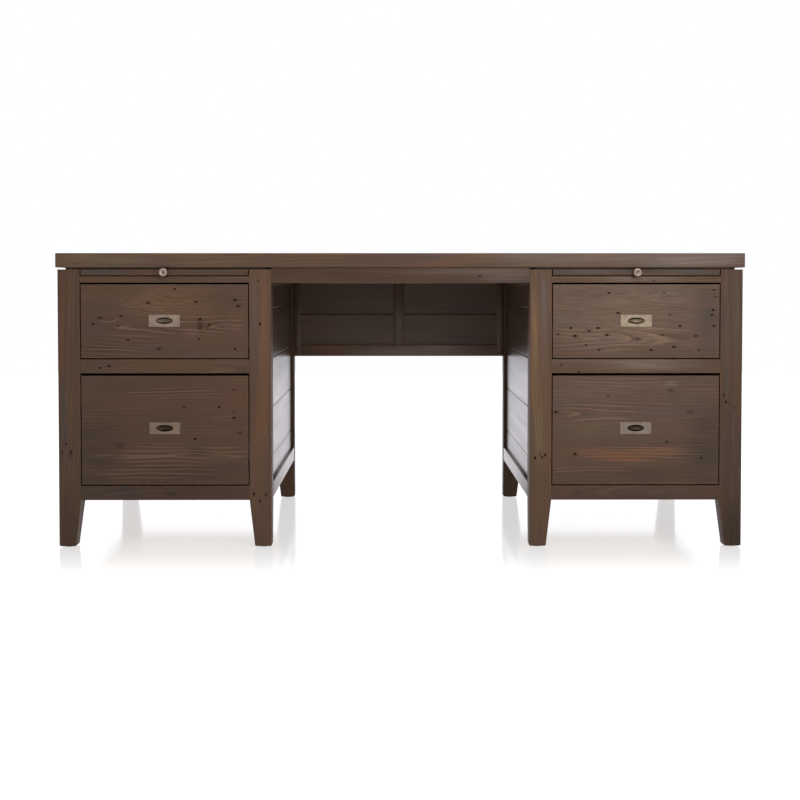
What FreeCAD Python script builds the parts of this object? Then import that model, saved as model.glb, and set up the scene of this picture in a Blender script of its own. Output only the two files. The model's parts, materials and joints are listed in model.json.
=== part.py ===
import FreeCAD, Part
import math
import os
from FreeCAD import Vector

# Executive desk in stained pine: one thick top on two drawer pedestals, with a kneehole between.
# X runs along the desk, Y from front to back and Z up.
# The origin is on the floor under the middle of the whole desk, knobs included.
# Inside a pedestal, u counts from its outer face towards the kneehole and v from its front face back.

# Top
desk_width = 1778.0
top_depth = 914.0
desk_height = 762.0
top_thickness = 37.0
top_overhang = 5.0
top_corner_radius = 5.0
top_edge_radius = 2.5
shadow_gap = 5.0

# Pedestals and posts
pedestal_width = 550.0
post_width = 57.0
post_edge_radius = 1.5
foot_width = 43.5
foot_round = 4.0
foot_round_steps = 4
leg_height = 123.0
glide_diameter = 22.0
glide_height = 2.5
glide_pin_diameter = 5.0
glide_pin_length = 14.0

# Rails of the pedestals, with stub tenons in the posts
front_rail_thickness = 28.0
tray_rail_height = 16.0
middle_rail_height = 36.0
bottom_rail_height = 37.0
upper_opening = 198.0
side_rail_thickness = 30.0
side_top_rail_height = 40.0
side_bottom_rail_height = 40.0
tenon_length = 16.0
tenon_share = 1 / 3
joint_clearance = 0.2

# Plank panels of the sides, back and modesty frame
panel_thickness = 12.0
panel_setback = 9.0
panel_tongue = 8.0
plank_height = 132.0
first_plank_height = 58.5
plank_groove_width = 5.0
plank_groove_depth = 2.5

# Bottom boards and the fixing of the top
bottom_board_thickness = 12.0
bottom_board_rise = 12.0
bottom_board_tongue = 6.0
spacer_inset = 18.0
spacer_width = 33.0
spacer_end_inset = 15.0
bolt_diameter = 6.0
bolt_head_diameter = 12.0
bolt_head_height = 4.0
bolt_grip = 22.0
bolt_end_distance = 70.0
bolt_clearance = 0.3

# Kneehole apron and modesty frame
apron_thickness = 25.0
apron_height = 40.0
glue_block_leg = 25.0
glue_block_length = 60.0
glue_block_count = 3
modesty_drop = 272.0
modesty_thickness = 22.0
modesty_setback = 6.0
modesty_top_rail_height = 40.0
modesty_bottom_rail_height = 37.0
modesty_side_stile_width = 20.0
modesty_centre_stile_width = 32.0
modesty_panel_thickness = 10.0

# Writing trays, hung by grooves on short tongues that also stop them
tray_thickness = 15.5
tray_depth = 640.0
tray_travel = 300.0
tray_side_gap = 2.5
tray_bottom_gap = 2.5
tray_edge_radius = 1.5
tray_tongue_thickness = 5.0
tray_tongue_reach = 6.0
tray_play = 0.3
tray_groove_back_wall = 12.0

# Turned knobs of the trays
knob_diameter = 23.5
knob_projection = 22.0
knob_base_diameter = 14.0
knob_base_height = 2.5
knob_neck_diameter = 8.5
knob_neck_length = 5.0
knob_rim_round = 4.4
knob_dish_depth = 2.2
knob_flare_share = 0.69
knob_stud_diameter = 4.0
knob_stud_length = 22.0
knob_stud_clearance = 0.2

# Drawer fronts and their flush pulls
front_thickness = 22.0
front_side_gap = 2.5
front_bottom_gap = 3.0
upper_front_top_gap = 4.5
lower_front_top_gap = 6.5
front_edge_radius = 1.5
pull_width = 80.0
pull_height = 31.0
pull_corner_radius = 1.5
pull_plate_thickness = 2.0
pull_proud = 0.8
pull_dish_width = 44.0
pull_dish_height = 17.0
pull_dish_wall = 1.2
pull_fit = 0.3
upper_pull_lift = 1.5
lower_pull_lift = 5.5

# Dovetailed drawer boxes
box_depth = 600.0
box_side_thickness = 14.0
box_end_thickness = 14.0
box_rise = 10.0
upper_box_drop = 40.0
lower_box_drop = 32.0
upper_tail_count = 4
lower_tail_count = 7
tail_share = 0.66
tail_slope_share = 1 / 6
tail_clearance = 0.1
drawer_bottom_thickness = 6.0
drawer_bottom_rise = 12.0
drawer_bottom_tongue = 6.0
file_rail_thickness = 3.0
file_rail_height = 14.0
file_rail_inset = 32.0
file_rail_seat = 7.0

# Telescopic drawer slides of three nested steel members
slide_length = 580.0
slide_height = 45.0
slide_thickness = 12.7
slide_sheet = 1.2
slide_play = 0.4
slide_lip = 4.4
slide_setback = 4.0
slide_height_share = 0.3
slide_cleat_height = 60.0

# One overrun serves all cuts that run out of a face
overrun = 1.0

# Levels that follow from the sizes above
top_underside = desk_height - top_thickness
post_top = top_underside - shadow_gap
tray_top = post_top
tray_bottom = tray_top - tray_thickness
tray_rail_top = tray_bottom - tray_bottom_gap
tray_rail_bottom = tray_rail_top - tray_rail_height
middle_rail_top = tray_rail_bottom - upper_opening
middle_rail_bottom = middle_rail_top - middle_rail_height
bottom_rail_top = leg_height + bottom_rail_height
side_top_rail_bottom = post_top - side_top_rail_height
side_bottom_rail_top = leg_height + side_bottom_rail_height
bottom_board_level = leg_height + bottom_board_rise

# Places along X and Y that follow from the sizes above
base_half_width = desk_width / 2 - top_overhang
kneehole_half_width = base_half_width - pedestal_width
base_depth = top_depth - 2 * top_overhang
overall_depth = knob_projection + base_depth + top_overhang
front_plane = knob_projection - overall_depth / 2
back_plane = front_plane + base_depth
post_inner = post_width
post_far_inner = pedestal_width - post_width
post_back = base_depth - post_width
panel_inner = panel_setback + panel_thickness
modesty_bottom = top_underside - modesty_drop

SIDES = {"left": -1, "right": 1}


def x_at(side, u):
    return side * (base_half_width - u)


def block(xs, ys, zs, grow=0):
    low = Vector(min(xs) - grow, min(ys) - grow, min(zs) - grow)
    high = Vector(max(xs) + grow, max(ys) + grow, max(zs) + grow)
    size = high - low
    return Part.makeBox(size.x, size.y, size.z, low)


def in_pedestal(side, us, vs, zs, grow=0):
    xs = [x_at(side, u) for u in us]
    ys = [front_plane + v for v in vs]
    return block(xs, ys, zs, grow)


def fused(first, *others):
    return first.fuse(list(others)).removeSplitter()


def cylinder(diameter, length, base, axis):
    return Part.makeCylinder(diameter / 2, length, base, axis)


def prism(points, sweep):
    wire = Part.makePolygon(points + points[:1])
    return Part.Face(wire).extrude(sweep)


def turned(edges, centre, axis):
    return Part.Face(Part.Wire(edges)).revolve(centre, axis, 360)


def spline_edge(curve):
    return curve.toBSpline().toShape()


def rounded_square(xs, ys, z, radius):
    # A square outline at height z: a smaller square grown by the radius, which rounds its corners
    low = Vector(min(xs) + radius, min(ys) + radius, z)
    inner = Part.makePlane(max(xs) - radius - low.x, max(ys) - radius - low.y, low)
    return inner.OuterWire.makeOffset2D(radius)


def edges_on(shape, axis, place):
    # The edges that lie wholly in the plane where the axis coordinate has the given place
    return [e for e in shape.Edges
            if all(abs(getattr(p.Point, axis) - place) < joint_clearance for p in e.Vertexes)]


def mirrored_u(us, far):
    return [pedestal_width - u for u in us] if far else list(us)


def both_sides(us):
    return [mirrored_u(us, far) for far in (False, True)]


# Places of the wood joints: a piece is cut where its neighbours' tenons and tongues go in
def along_x_tenons(us, vs, zs):
    # Two tenons at the ends of a rail that runs along u
    dv = (max(vs) - min(vs)) * (1 - tenon_share) / 2
    dz = (max(zs) - min(zs)) * (1 - tenon_share) / 2
    tv = (min(vs) + dv, max(vs) - dv)
    tz = (min(zs) + dz, max(zs) - dz)
    return [((min(us) - tenon_length, min(us)), tv, tz), ((max(us), max(us) + tenon_length), tv, tz)]


def along_y_tenons(us, vs, zs):
    # Two tenons at the ends of a rail that runs along v
    du = (max(us) - min(us)) * (1 - tenon_share) / 2
    dz = (max(zs) - min(zs)) * (1 - tenon_share) / 2
    tu = (min(us) + du, max(us) - du)
    tz = (min(zs) + dz, max(zs) - dz)
    return [(tu, (min(vs) - tenon_length, min(vs)), tz), (tu, (max(vs), max(vs) + tenon_length), tz)]


front_rail_spans = [
    ((post_inner, post_far_inner), (0, front_rail_thickness), (tray_rail_bottom, tray_rail_top)),
    ((post_inner, post_far_inner), (0, front_rail_thickness), (middle_rail_bottom, middle_rail_top)),
    ((post_inner, post_far_inner), (0, front_rail_thickness), (leg_height, bottom_rail_top)),
]
back_rail_spans = [
    ((post_inner, post_far_inner), (base_depth - side_rail_thickness, base_depth), zs)
    for zs in ((side_top_rail_bottom, post_top), (leg_height, side_bottom_rail_top))
]
side_rail_spans = [
    (us, (post_inner, post_back), zs)
    for us in both_sides((0, side_rail_thickness))
    for zs in ((side_top_rail_bottom, post_top), (leg_height, side_bottom_rail_top))
]
panel_zs = (side_bottom_rail_top - panel_tongue, side_top_rail_bottom + panel_tongue)
side_panel_spans = [
    (us, (post_inner - panel_tongue, post_back + panel_tongue), panel_zs)
    for us in both_sides((panel_setback, panel_inner))
]
back_panel_span = ((post_inner - panel_tongue, post_far_inner + panel_tongue),
                   (base_depth - panel_inner, base_depth - panel_setback), panel_zs)
bottom_board_span = (
    (side_rail_thickness - bottom_board_tongue, pedestal_width - side_rail_thickness + bottom_board_tongue),
    (front_rail_thickness - bottom_board_tongue, base_depth - side_rail_thickness + bottom_board_tongue),
    (bottom_board_level, bottom_board_level + bottom_board_thickness))


def rail(side, span, tenons):
    return fused(in_pedestal(side, *span), *[in_pedestal(side, *t) for t in tenons(*span)])


def cut_for(side, piece, spans):
    room = [in_pedestal(side, *span, grow=joint_clearance) for span in spans]
    return piece.cut(room)


# Desk top with eased edges, drilled from below for the fixing bolts
def bolt_places():
    u = (side_rail_thickness + post_inner) / 2
    for side in SIDES.values():
        for us in both_sides((u, u)):
            for v in (post_inner + bolt_end_distance, post_back - bolt_end_distance):
                yield Vector(x_at(side, us[0]), front_plane + v, side_top_rail_bottom)


def bolt_room(place, length):
    return cylinder(bolt_diameter + 2 * bolt_clearance, length, place, Vector(0, 0, 1))


bolt_length = side_top_rail_height + shadow_gap + bolt_grip


def desk_top():
    half = desk_width / 2
    ys = (front_plane - top_overhang, back_plane + top_overhang)
    slab = block((-half, half), ys, (top_underside, desk_height))
    uprights = [e for e in slab.Edges if abs(e.Vertexes[0].Z - e.Vertexes[1].Z) > overrun]
    slab = slab.makeFillet(top_corner_radius, uprights)
    rims = edges_on(slab, "z", desk_height) + edges_on(slab, "z", top_underside)
    slab = slab.makeFillet(top_edge_radius, rims)
    return slab.cut([bolt_room(p, bolt_length + bolt_clearance) for p in bolt_places()])


def spacer_spans():
    # Two strips along each pedestal, and a cross strip at either end that stays clear of the tray below
    near, far = spacer_inset, spacer_inset + spacer_width
    front, back = spacer_end_inset, base_depth - spacer_end_inset
    spans = [(us, (front, back), (post_top, top_underside)) for us in both_sides((near, far))]
    for vs in ((front, front + spacer_width), (back - spacer_width, back)):
        spans.append(((far, pedestal_width - far), vs, (post_top + tray_play, top_underside)))
    return spans


def top_spacers():
    strips = [in_pedestal(side, *span) for side in SIDES.values() for span in spacer_spans()]
    rooms = [bolt_room(p, bolt_length) for p in bolt_places()]
    return Part.makeCompound([strip.cut(rooms) for strip in strips])


def top_bolts():
    up = Vector(0, 0, 1)
    bolts = []
    for place in bolt_places():
        head_base = place - up * bolt_head_height
        head = cylinder(bolt_head_diameter, bolt_head_height, head_base, up)
        bolts.append(fused(head, cylinder(bolt_diameter, bolt_length, place, up)))
    return Part.makeCompound(bolts)


# Posts: square above the lowest rail, tapered on the two inner faces down to the foot
def post_corners():
    return [(u_far, v_far) for u_far in (False, True) for v_far in (False, True)]


def post_outline(side, u_far, v_far, width, inset, z):
    us = mirrored_u((inset, width - inset), u_far)
    vs = (inset, width - inset)
    if v_far:
        vs = [base_depth - v for v in vs]
    xs = [x_at(side, u) for u in us]
    ys = [front_plane + v for v in vs]
    return rounded_square(xs, ys, z, post_edge_radius)


def glide_place(side, u_far, v_far):
    u = mirrored_u((foot_width / 2,), u_far)[0]
    v = base_depth - foot_width / 2 if v_far else foot_width / 2
    return Vector(x_at(side, u), front_plane + v, 0)


def post(side, u_far, v_far):
    outlines = []
    for i in range(foot_round_steps + 1):
        turn = math.pi / 2 * i / foot_round_steps
        inset = foot_round * (1 - math.sin(turn))
        rise = foot_round * (1 - math.cos(turn))
        outlines.append(post_outline(side, u_far, v_far, foot_width, inset, glide_height + rise))
    outlines.append(post_outline(side, u_far, v_far, post_width, 0, leg_height))
    outlines.append(post_outline(side, u_far, v_far, post_width, 0, post_top))
    solid = Part.makeLoft(outlines, True, True)
    rails = front_rail_spans + back_rail_spans
    joints = [t for span in rails for t in along_x_tenons(*span)]
    joints += [t for span in side_rail_spans for t in along_y_tenons(*span)]
    solid = cut_for(side, solid, joints + side_panel_spans + [back_panel_span])
    pin = glide_place(side, u_far, v_far)
    return solid.cut(cylinder(glide_pin_diameter + 2 * joint_clearance,
                              glide_height + glide_pin_length + joint_clearance, pin, Vector(0, 0, 1)))


def posts(side):
    return Part.makeCompound([post(side, u_far, v_far) for u_far, v_far in post_corners()])


def foot_glides():
    up = Vector(0, 0, 1)
    glides = []
    for side in SIDES.values():
        for u_far, v_far in post_corners():
            place = glide_place(side, u_far, v_far)
            pad = cylinder(glide_diameter, glide_height, place, up)
            pin = cylinder(glide_pin_diameter, glide_height + glide_pin_length, place, up)
            glides.append(fused(pad, pin))
    return Part.makeCompound(glides)


# Rails between the posts, grooved where panels and bottom board slide in
def front_rails(side):
    rails = [rail(side, span, along_x_tenons) for span in front_rail_spans]
    return Part.makeCompound([cut_for(side, r, [bottom_board_span]) for r in rails])


def back_rails():
    rails = []
    for side in SIDES.values():
        for span in back_rail_spans:
            piece = rail(side, span, along_x_tenons)
            rails.append(cut_for(side, piece, [back_panel_span, bottom_board_span]))
    return Part.makeCompound(rails)


def side_rails(side):
    rails = [rail(side, span, along_y_tenons) for span in side_rail_spans]
    return Part.makeCompound([cut_for(side, r, side_panel_spans + [bottom_board_span]) for r in rails])


# Panels of horizontal planks with a V groove at each joint
def groove_levels():
    z = side_bottom_rail_top + first_plank_height
    levels = []
    while z < side_top_rail_bottom - plank_groove_width:
        levels.append(z)
        z += plank_height
    return levels


def v_groove(start, sweep, z, inwards):
    # A triangular bar that opens the face at start, its point sunk inwards
    half = Vector(0, 0, plank_groove_width / 2)
    mouth = Vector(start.x, start.y, z)
    tip = mouth + inwards * plank_groove_depth
    return prism([mouth - half, mouth + half, tip], sweep)


def side_panel(side, inner):
    us, vs, zs = side_panel_spans[1 if inner else 0]
    panel = in_pedestal(side, us, vs, zs)
    face_u = pedestal_width - panel_setback if inner else panel_setback
    start = Vector(x_at(side, face_u), front_plane + min(vs), 0)
    sweep = Vector(0, max(vs) - min(vs), 0)
    inwards = Vector(side if inner else -side, 0, 0)
    return panel.cut([v_groove(start, sweep, z, inwards) for z in groove_levels()])


def back_panel(side):
    us, vs, zs = back_panel_span
    panel = in_pedestal(side, us, vs, zs)
    xs = [x_at(side, u) for u in us]
    start = Vector(min(xs), front_plane + max(vs), 0)
    sweep = Vector(max(xs) - min(xs), 0, 0)
    return panel.cut([v_groove(start, sweep, z, Vector(0, -1, 0)) for z in groove_levels()])


def bottom_boards():
    boards = []
    for side in SIDES.values():
        board = in_pedestal(side, *bottom_board_span)
        corners = []
        for us in both_sides((0, post_width)):
            for vs in ((0, post_width), (post_back, base_depth)):
                corners.append((us, vs, (leg_height, bottom_rail_top)))
        boards.append(cut_for(side, board, corners))
    return Part.makeCompound(boards)


# Apron over the kneehole, glued under the top with triangular blocks behind it
def kneehole_apron():
    xs = (-kneehole_half_width, kneehole_half_width)
    ys = (front_plane, front_plane + apron_thickness)
    return block(xs, ys, (top_underside - apron_height, top_underside))


def apron_glue_blocks():
    blocks = []
    y = front_plane + apron_thickness
    pitch = 2 * kneehole_half_width / (glue_block_count + 1)
    for i in range(glue_block_count):
        x = pitch * (i + 1) - kneehole_half_width - glue_block_length / 2
        corner = Vector(x, y, top_underside)
        points = [corner, corner + Vector(0, glue_block_leg, 0), corner - Vector(0, 0, glue_block_leg)]
        blocks.append(prism(points, Vector(glue_block_length, 0, 0)))
    return Part.makeCompound(blocks)


# Modesty frame at the back of the kneehole: stiles, rails and two plank panels
modesty_ys = (back_plane - modesty_setback - modesty_thickness, back_plane - modesty_setback)
modesty_zs = (modesty_bottom, top_underside)
modesty_rail_zs = [(modesty_bottom, modesty_bottom + modesty_bottom_rail_height),
                   (top_underside - modesty_top_rail_height, top_underside)]
modesty_field_zs = (max(modesty_rail_zs[0]), min(modesty_rail_zs[1]))
modesty_rail_half = kneehole_half_width - modesty_side_stile_width
modesty_stub = modesty_bottom_rail_height * tenon_share


def modesty_tongue_ys():
    middle = sum(modesty_ys) / 2
    return (middle - modesty_panel_thickness / 2, middle + modesty_panel_thickness / 2)


def modesty_rail_tenon_spans(zs):
    dz = (zs[1] - zs[0]) * (1 - tenon_share) / 2
    spans = []
    for sign in (-1, 1):
        xs = (sign * modesty_rail_half, sign * (modesty_rail_half + modesty_stub))
        spans.append((xs, modesty_tongue_ys(), (zs[0] + dz, zs[1] - dz)))
    return spans


def modesty_centre_tenon_spans():
    half = modesty_centre_stile_width * tenon_share / 2
    low, high = modesty_field_zs
    return [((-half, half), modesty_tongue_ys(), (low - modesty_stub, low)),
            ((-half, half), modesty_tongue_ys(), (high, high + modesty_stub))]


def modesty_panel_spans():
    low, high = modesty_field_zs
    near = modesty_centre_stile_width / 2 - panel_tongue
    far = modesty_rail_half + panel_tongue
    zs = (low - panel_tongue, high + panel_tongue)
    return [((sign * near, sign * far), modesty_tongue_ys(), zs) for sign in (-1, 1)]


def modesty_cut(piece, spans):
    return piece.cut([block(*span, grow=joint_clearance) for span in spans])


def modesty_stiles():
    outer = []
    mortises = [span for zs in modesty_rail_zs for span in modesty_rail_tenon_spans(zs)]
    for sign in (-1, 1):
        xs = (sign * modesty_rail_half, sign * kneehole_half_width)
        stile = block(xs, modesty_ys, modesty_zs)
        outer.append(modesty_cut(stile, mortises + modesty_panel_spans()))
    half = modesty_centre_stile_width / 2
    centre = block((-half, half), modesty_ys, modesty_field_zs)
    centre = fused(centre, *[block(*span) for span in modesty_centre_tenon_spans()])
    return Part.makeCompound(outer + [modesty_cut(centre, modesty_panel_spans())])


def modesty_rails():
    rails = []
    for zs in modesty_rail_zs:
        piece = block((-modesty_rail_half, modesty_rail_half), modesty_ys, zs)
        piece = fused(piece, *[block(*span) for span in modesty_rail_tenon_spans(zs)])
        rails.append(modesty_cut(piece, modesty_centre_tenon_spans() + modesty_panel_spans()))
    return Part.makeCompound(rails)


def modesty_panels():
    panels = []
    z = sum(modesty_field_zs) / 2
    for xs, ys, zs in modesty_panel_spans():
        panel = block(xs, ys, zs)
        sweep = Vector(max(xs) - min(xs), 0, 0)
        front = v_groove(Vector(min(xs), min(ys), 0), sweep, z, Vector(0, 1, 0))
        back = v_groove(Vector(min(xs), max(ys), 0), sweep, z, Vector(0, -1, 0))
        panels.append(panel.cut([front, back]))
    return Part.makeCompound(panels)


# Drawer openings and the boxes that fill them
class Drawer:
    def __init__(self, low, high, top_gap, box_drop, tail_count, pull_lift):
        self.front_zs = (low + front_bottom_gap, high - top_gap)
        self.box_zs = (self.front_zs[0] + box_rise, self.front_zs[1] - box_drop)
        self.box_height = self.box_zs[1] - self.box_zs[0]
        self.tail_count = tail_count
        self.pull_z = sum(self.front_zs) / 2 + pull_lift
        self.slide_z = self.box_zs[0] + self.box_height * slide_height_share


DRAWERS = {
    "upper": Drawer(middle_rail_top, tray_rail_bottom, upper_front_top_gap,
                    upper_box_drop, upper_tail_count, upper_pull_lift),
    "lower": Drawer(bottom_rail_top, middle_rail_bottom, lower_front_top_gap,
                    lower_box_drop, lower_tail_count, lower_pull_lift),
}
box_us = (post_inner + slide_thickness, post_far_inner - slide_thickness)
box_vs = (front_thickness, front_thickness + box_depth)
inside_us = (box_us[0] + box_side_thickness, box_us[1] - box_side_thickness)
inside_vs = (box_vs[0] + box_end_thickness, box_vs[1] - box_end_thickness)
pedestal_middle = pedestal_width / 2
file_rail_us = (inside_us[0] + file_rail_inset, inside_us[0] + file_rail_inset + file_rail_thickness)


def dish(side, drawer, grow):
    # The drawn finger dish: half an ellipse turned about its long axis
    x = x_at(side, pedestal_middle)
    centre = Vector(x, front_plane - pull_proud, drawer.pull_z)
    long_half = pull_dish_width / 2 + grow
    short_half = pull_dish_height / 2 + grow
    arc = spline_edge(Part.Arc(Part.Ellipse(centre, long_half, short_half), 0, math.pi))
    axis = Part.makeLine(arc.Vertexes[-1].Point, arc.Vertexes[0].Point)
    return turned([arc, axis], centre, Vector(1, 0, 0))


def pull_plate(side, drawer, grow, y_front, y_back):
    x = x_at(side, pedestal_middle)
    half_w = pull_width / 2 + grow
    half_h = pull_height / 2 + grow
    plate = block((x - half_w, x + half_w), (y_front, y_back),
                  (drawer.pull_z - half_h, drawer.pull_z + half_h))
    corners = [e for e in plate.Edges if abs(e.Vertexes[0].Y - e.Vertexes[1].Y) > pull_fit]
    return plate.makeFillet(pull_corner_radius, corners)


def pull(side, drawer):
    face = front_plane - pull_proud
    plate = pull_plate(side, drawer, 0, face, face + pull_plate_thickness)
    span = pull_width + pull_height
    behind = block((x_at(side, 0), x_at(side, pedestal_width)), (face, face + span),
                   (drawer.pull_z - span, drawer.pull_z + span))
    cup = dish(side, drawer, pull_dish_wall).common(behind)
    return fused(plate, cup).cut(dish(side, drawer, 0))


def drawer_front(side, drawer):
    us = (post_inner + front_side_gap, post_far_inner - front_side_gap)
    board = in_pedestal(side, us, (0, front_thickness), drawer.front_zs)
    board = board.makeFillet(front_edge_radius, edges_on(board, "y", front_plane))
    seat_back = front_plane - pull_proud + pull_plate_thickness
    seat = pull_plate(side, drawer, pull_fit, front_plane - overrun, seat_back)
    return board.cut([seat, dish(side, drawer, pull_dish_wall + pull_fit)])


def tail(side, us, v_root, v_tip, z, wide, grow):
    # One dovetail, narrow at its root and wide at its tip, through the thickness of the drawer side
    narrow = wide - 2 * abs(v_tip - v_root) * tail_slope_share
    y_root = front_plane + v_root
    y_tip = front_plane + v_tip
    xs = [x_at(side, u) for u in us]
    x0 = min(xs) - grow
    points = [Vector(x0, y_root, z - narrow / 2 - grow), Vector(x0, y_tip, z - wide / 2 - grow),
              Vector(x0, y_tip, z + wide / 2 + grow), Vector(x0, y_root, z + narrow / 2 + grow)]
    return prism(points, Vector(max(xs) - min(xs) + 2 * grow, 0, 0))


def tails(side, drawer, us, grow):
    pitch = drawer.box_height / drawer.tail_count
    wide = pitch * tail_share
    pieces = []
    for i in range(drawer.tail_count):
        z = drawer.box_zs[0] + pitch * (2 * i + 1) / 2
        pieces.append(tail(side, us, inside_vs[0], box_vs[0], z, wide, grow))
        pieces.append(tail(side, us, inside_vs[1], box_vs[1], z, wide, grow))
    return pieces


def box_side_us():
    return both_sides((box_us[0], inside_us[0]))


def bottom_span(drawer):
    tongue = drawer_bottom_tongue
    z = drawer.box_zs[0] + drawer_bottom_rise
    return ((inside_us[0] - tongue, inside_us[1] + tongue), (inside_vs[0] - tongue, inside_vs[1] + tongue),
            (z, z + drawer_bottom_thickness))


def file_rail_spans(drawer):
    vs = (inside_vs[0] - file_rail_seat, inside_vs[1] + file_rail_seat)
    zs = (drawer.box_zs[1] - file_rail_height, drawer.box_zs[1])
    return [(us, vs, zs) for us in both_sides(file_rail_us)]


def box_sides(side, drawer):
    sides = []
    for us in box_side_us():
        core = in_pedestal(side, us, inside_vs, drawer.box_zs)
        board = fused(core, *tails(side, drawer, us, 0))
        sides.append(cut_for(side, board, [bottom_span(drawer)]))
    return Part.makeCompound(sides)


def box_ends(side, drawer, grooves):
    ends = []
    for vs in ((box_vs[0], inside_vs[0]), (inside_vs[1], box_vs[1])):
        board = in_pedestal(side, box_us, vs, drawer.box_zs)
        sockets = [t for us in box_side_us() for t in tails(side, drawer, us, tail_clearance)]
        ends.append(cut_for(side, board.cut(sockets), [bottom_span(drawer)] + grooves))
    return Part.makeCompound(ends)


def file_rails(side, drawer):
    return Part.makeCompound([in_pedestal(side, *span) for span in file_rail_spans(drawer)])


# Slide members: a lipped channel on the cabinet, another nested in it, and a hat section on the drawer
slide_vs = (front_thickness + slide_setback, front_thickness + slide_setback + slide_length)
slide_step = slide_sheet + slide_play


def lipped_channel(web, rim, half):
    s = slide_sheet
    lower = [(web, -half), (rim, -half), (rim, slide_lip - half), (rim - s, slide_lip - half),
             (rim - s, s - half), (web + s, s - half)]
    return lower + [(a, -z) for a, z in reversed(lower)]


def hat_section(foot, web, half, neck):
    s = slide_sheet
    lower = [(web, -neck), (foot + s, -neck), (foot + s, -half), (foot, -half),
             (foot, s - neck), (web - s, s - neck)]
    return lower + [(a, -z) for a, z in reversed(lower)]


def slide_profiles():
    half = slide_height / 2
    middle_half = half - slide_step
    drawer_foot = 2 * slide_step
    middle_rim = drawer_foot + slide_step + slide_sheet
    cabinet = lipped_channel(0, middle_rim + slide_step, half)
    middle = lipped_channel(slide_step, middle_rim, middle_half)
    neck = middle_half - slide_lip - slide_play
    drawer = hat_section(drawer_foot, slide_thickness, middle_half - slide_step, neck)
    return {"cabinet": cabinet, "middle": middle, "drawer": drawer}


def slide_pair(side, drawer, member):
    profile = slide_profiles()[member]
    sweep = Vector(0, slide_length, 0)
    pair = []
    for far in (False, True):
        points = []
        for a, z in profile:
            u = mirrored_u((post_inner + a,), far)[0]
            points.append(Vector(x_at(side, u), front_plane + slide_vs[0], drawer.slide_z + z))
        pair.append(prism(points, sweep))
    return pair


def slide_cleats():
    cleats = []
    for side in SIDES.values():
        for drawer in DRAWERS.values():
            half = slide_cleat_height / 2
            zs = (drawer.slide_z - half, drawer.slide_z + half)
            for us in both_sides((panel_inner, post_inner)):
                cleats.append(in_pedestal(side, us, (post_inner, post_back), zs))
    return Part.makeCompound(cleats)


# Trays and the runners that carry them; the tongue's length sets both stops
tray_middle = (tray_top + tray_bottom) / 2
tongue_vs = (post_inner, tray_depth - tray_groove_back_wall - tray_travel - tray_play)
tongue_half = tray_tongue_thickness / 2
tongue_us = (post_inner, post_inner + tray_side_gap + tray_tongue_reach)


def tray_runners():
    runners = []
    rooms = [bolt_room(p, bolt_length) for p in bolt_places()]
    for side in SIDES.values():
        for far in (False, True):
            body = in_pedestal(side, mirrored_u((side_rail_thickness, post_inner), far),
                               (post_inner, post_back), (side_top_rail_bottom, post_top))
            tongue = in_pedestal(side, mirrored_u(tongue_us, far), tongue_vs,
                                 (tray_middle - tongue_half, tray_middle + tongue_half))
            runners.append(fused(body, tongue).cut(rooms))
    return Part.makeCompound(runners)


def tray_board(side):
    us = (post_inner + tray_side_gap, post_far_inner - tray_side_gap)
    board = in_pedestal(side, us, (0, tray_depth), (tray_bottom, tray_top))
    board = board.makeFillet(tray_edge_radius, edges_on(board, "y", front_plane))
    groove_vs = (post_inner - tray_play, tray_depth - tray_groove_back_wall)
    zs = (tray_middle - tongue_half - tray_play, tray_middle + tongue_half + tray_play)
    grooves = []
    for far in (False, True):
        groove_us = (post_inner, max(tongue_us) + tray_play)
        grooves.append(in_pedestal(side, mirrored_u(groove_us, far), groove_vs, zs))
    stud = Vector(x_at(side, pedestal_middle), front_plane, tray_middle)
    hole = cylinder(knob_stud_diameter + 2 * knob_stud_clearance, knob_stud_length + knob_stud_clearance,
                    stud, Vector(0, 1, 0))
    return board.cut(grooves + [hole])


def tray_knob(side):
    # Turned brass: stud, seat, neck, flared underside, rounded rim and dished face, as one half outline
    x = x_at(side, pedestal_middle)

    def at(radius, out):
        return Vector(x, front_plane - out, tray_middle + radius)

    stud, seat = knob_stud_diameter / 2, knob_base_diameter / 2
    neck, rim = knob_neck_diameter / 2, knob_diameter / 2
    head_start = knob_base_height + knob_neck_length
    rim_out = knob_projection - knob_rim_round
    flare = at(neck + (rim - neck) * knob_flare_share,
               head_start + (rim_out - head_start) * (1 - knob_flare_share))
    crest = rim - knob_rim_round
    eighth = knob_rim_round * math.cos(math.pi / 4)
    dish_radius = (crest ** 2 + knob_dish_depth ** 2) / (2 * knob_dish_depth)
    half_angle = math.asin(crest / dish_radius) / 2
    bottom = knob_projection - knob_dish_depth
    dish = at(dish_radius * math.sin(half_angle), bottom + dish_radius * (1 - math.cos(half_angle)))
    corners = [at(0, bottom), at(0, -knob_stud_length), at(stud, -knob_stud_length), at(stud, 0),
               at(seat, 0), at(seat, knob_base_height), at(neck, knob_base_height), at(neck, head_start)]
    edges = [Part.makeLine(a, b) for a, b in zip(corners, corners[1:])]
    edges.append(spline_edge(Part.Arc(at(neck, head_start), flare, at(rim, rim_out))))
    edges.append(spline_edge(Part.Arc(at(rim, rim_out), at(crest + eighth, rim_out + eighth),
                                      at(crest, knob_projection))))
    edges.append(spline_edge(Part.Arc(at(crest, knob_projection), dish, at(0, bottom))))
    return turned(edges, at(0, 0), Vector(0, 1, 0))


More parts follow.
